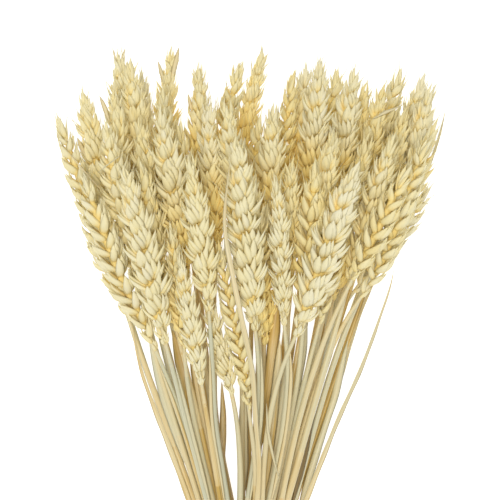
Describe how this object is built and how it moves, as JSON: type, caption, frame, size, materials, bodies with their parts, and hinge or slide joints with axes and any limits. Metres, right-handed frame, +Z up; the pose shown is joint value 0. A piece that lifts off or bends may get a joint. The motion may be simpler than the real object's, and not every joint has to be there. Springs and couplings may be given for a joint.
{
  "type": "bunch of dried wheat",
  "caption": "Bunch of dried wheat lying on its side: straw stems bound with twine, ears fanned out at one end.",
  "frame": {"origin": "on the table, under the middle of the twine", "axes": "+Y along the bunch from the cut ends to the ears, +Z up, +X to the right as seen from above with the ears up"},
  "size_m": [0.2051, 0.5074, 0.0898],
  "materials": {
    "straw_cream": "dry cream straw, satin",
    "straw_gold": "dry golden straw, satin",
    "straw_pale": "dry pale, slightly green straw, satin",
    "twine": "matt natural twine"
  },
  "bodies": {
    "root": {"stalk_01": "straw_cream", "stalk_02": "straw_cream", "stalk_03": "straw_cream", "stalk_04": "straw_gold", "stalk_05": "straw_gold", "stalk_06": "straw_cream", "stalk_07": "straw_cream", "stalk_08": "straw_cream", "stalk_09": "straw_gold", "stalk_10": "straw_cream", "stalk_11": "straw_cream", "stalk_12": "straw_gold", "stalk_13": "straw_cream", "stalk_14": "straw_gold", "stalk_15": "straw_pale", "stalk_16": "straw_cream", "stalk_17": "straw_gold", "stalk_18": "straw_gold", "stalk_19": "straw_cream", "stalk_20": "straw_gold", "stalk_21": "straw_cream", "stalk_22": "straw_pale", "stalk_23": "straw_cream", "stalk_24": "straw_cream", "stalk_25": "straw_gold", "stalk_26": "straw_gold", "stalk_27": "straw_cream", "stalk_28": "straw_cream", "stalk_29": "straw_pale", "stalk_30": "straw_cream", "stalk_31": "straw_gold", "stalk_32": "straw_gold", "stalk_33": "straw_cream", "stalk_34": "straw_gold", "stalk_35": "straw_cream", "stalk_36": "straw_pale", "stalk_37": "straw_gold", "stalk_38": "straw_cream", "stalk_39": "straw_gold", "stalk_40": "straw_cream", "stalk_41": "straw_gold", "stalk_42": "straw_cream", "stalk_43": "straw_pale", "stalk_44": "straw_gold", "stalk_45": "straw_gold", "stalk_46": "straw_cream", "stalk_47": "straw_cream", "stalk_48": "straw_cream", "stalk_49": "straw_pale", "stalk_50": "straw_cream", "stalk_51": "straw_cream", "stalk_52": "straw_cream", "stalk_53": "straw_gold", "stalk_54": "straw_cream", "stalk_55": "straw_cream", "leaf_1": "straw_gold", "leaf_2": "straw_pale", "leaf_3": "straw_cream", "leaf_4": "straw_gold", "twine": "twine"}
  },
  "joints": []
}
